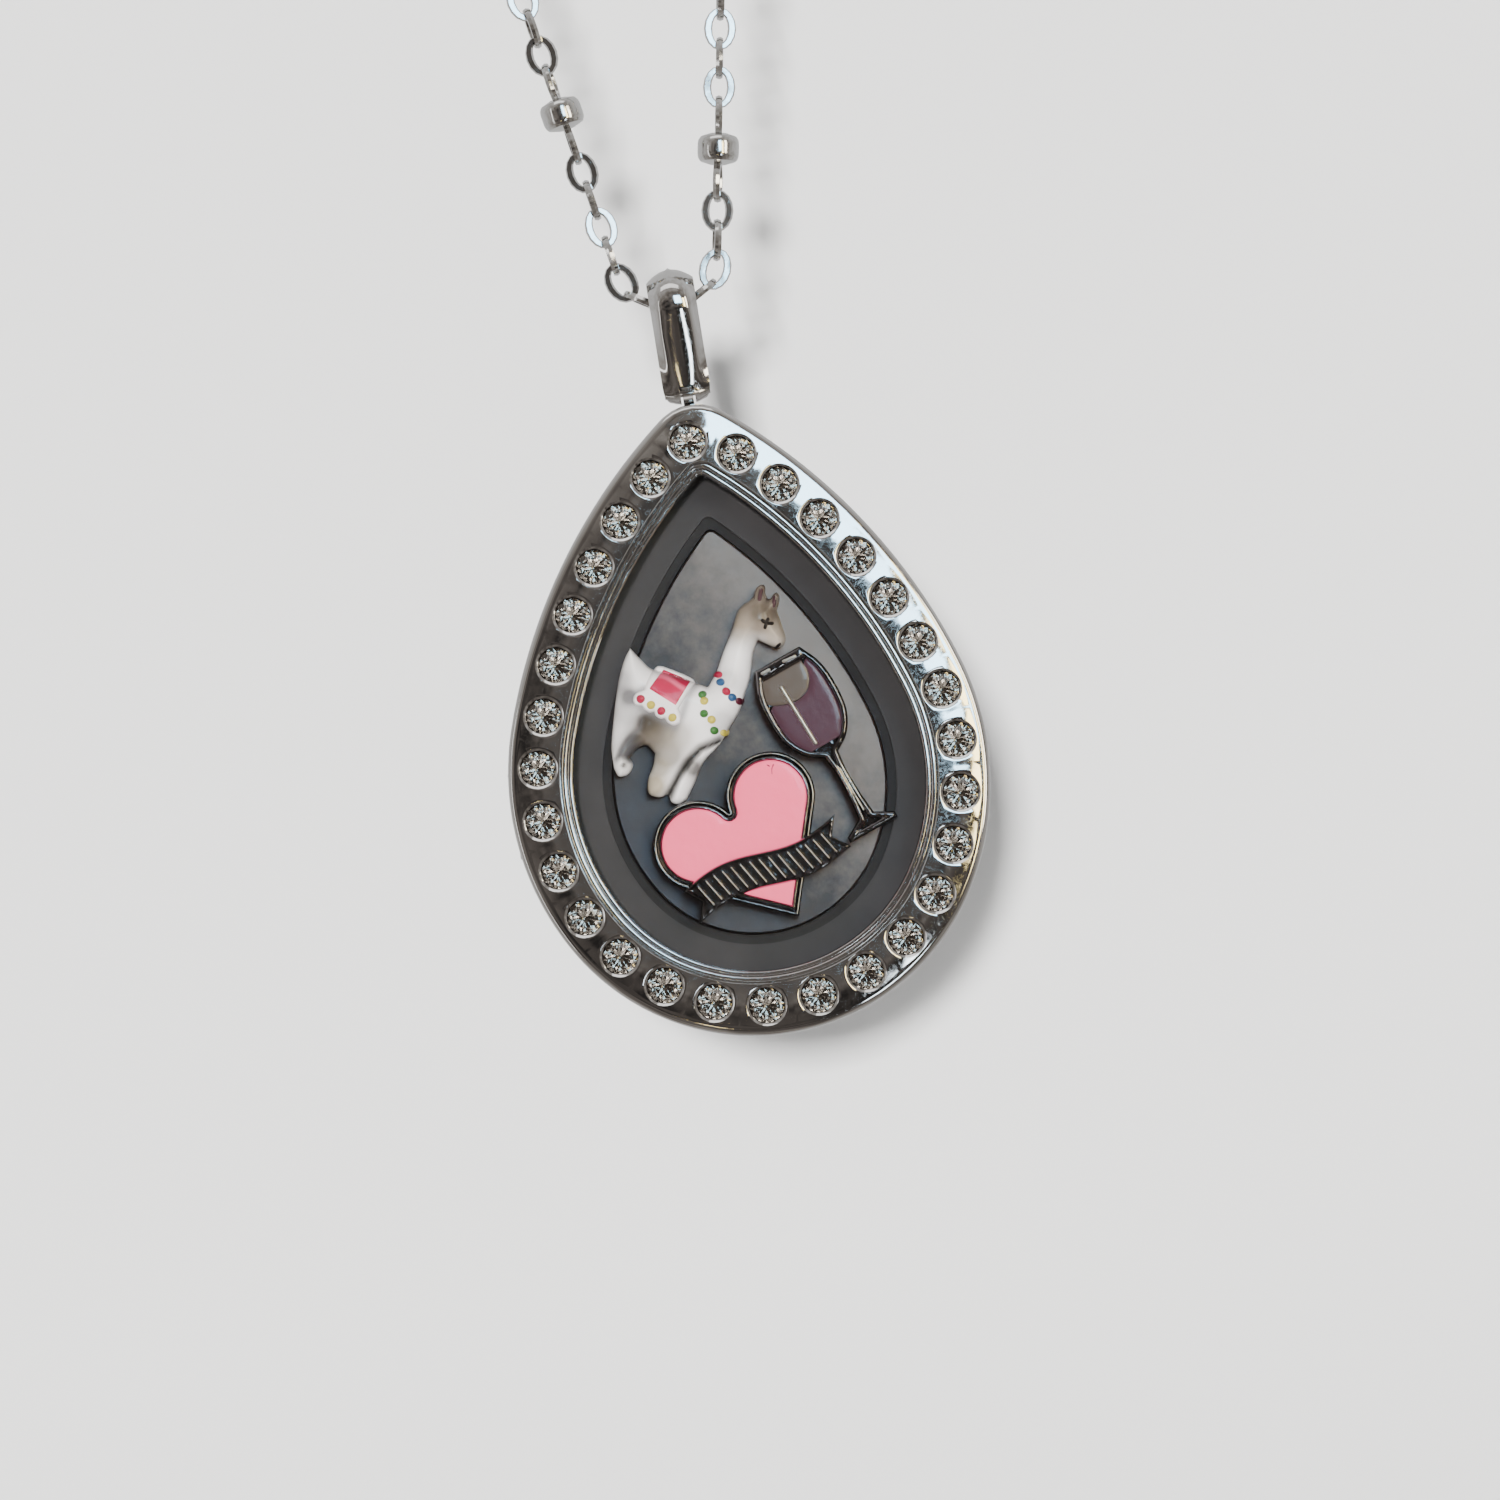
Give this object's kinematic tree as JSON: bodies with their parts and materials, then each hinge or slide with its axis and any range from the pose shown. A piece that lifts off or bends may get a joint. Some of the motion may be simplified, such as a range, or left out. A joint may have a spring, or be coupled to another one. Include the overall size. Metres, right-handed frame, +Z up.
{
  "type": "floating locket necklace",
  "caption": "Teardrop locket with a crystal-set bezel, clear window and loose enamelled charms, hung by a domed bail from a long cable chain with rondelle beads.",
  "frame": {"origin": "underside of the clasp, where the chain lies on the nape", "axes": "+Z up along the hanging necklace, -Y out of the locket's glass front, +X to the wearer's left"},
  "size_m": [0.107, 0.0065, 0.3811],
  "materials": {
    "chain_steel": "polished steel wire",
    "polished_steel": "mirror polished stainless steel",
    "satin_steel": "satin, slightly mottled",
    "dark_steel": "dark matt",
    "charm_metal": "cast and antiqued",
    "blanket_enamel": "glossy enamel",
    "wine_red_enamel": "glossy enamel",
    "grey_enamel": "glossy enamel",
    "pink_enamel": "glossy enamel",
    "window_glass": "clear, flat",
    "crystal": "cut and polished"
  },
  "bodies": {
    "chain": {"chain": "chain_steel", "clasp": "chain_steel"},
    "bail": {"bail": "polished_steel", "bail_pin": "polished_steel"},
    "locket": {"case_back": "polished_steel", "hinge_pin": "polished_steel", "back_plate": "satin_steel", "inner_ring": "dark_steel", "llama": "charm_metal", "llama_blanket": "blanket_enamel", "wine_glass": "charm_metal", "wine_enamel": "wine_red_enamel", "bowl_enamel": "grey_enamel", "heart": "charm_metal", "heart_enamel_top": "pink_enamel", "heart_enamel_tip": "pink_enamel"},
    "lid": {"front_bezel": "polished_steel", "front_glass": "window_glass", "crystal_01": "crystal", "crystal_02": "crystal", "crystal_03": "crystal", "crystal_04": "crystal", "crystal_05": "crystal", "crystal_06": "crystal", "crystal_07": "crystal", "crystal_08": "crystal", "crystal_09": "crystal", "crystal_10": "crystal", "crystal_11": "crystal", "crystal_12": "crystal", "crystal_13": "crystal", "crystal_14": "crystal", "crystal_15": "crystal", "crystal_16": "crystal", "crystal_17": "crystal", "crystal_18": "crystal", "crystal_19": "crystal", "crystal_20": "crystal", "crystal_21": "crystal", "crystal_22": "crystal", "crystal_23": "crystal", "crystal_24": "crystal", "crystal_25": "crystal", "crystal_26": "crystal", "crystal_27": "crystal", "crystal_28": "crystal", "crystal_29": "crystal"}
  },
  "joints": [
    {"name": "bail_swing", "type": "hinge", "parent": "chain", "child": "bail", "pos_m": [0, 0, -0.34298], "axis": [1, 0, 0], "range_deg": [-45, 45]},
    {"name": "locket_swing", "type": "hinge", "parent": "bail", "child": "locket", "pos_m": [0, 0, -0.34725], "axis": [1, 0, 0], "range_deg": [-40, 40]},
    {"name": "lid_open", "type": "hinge", "parent": "locket", "child": "lid", "pos_m": [-0.01085, 0, -0.36619], "axis": [0, 0, -1], "range_deg": [0, 90]}
  ]
}
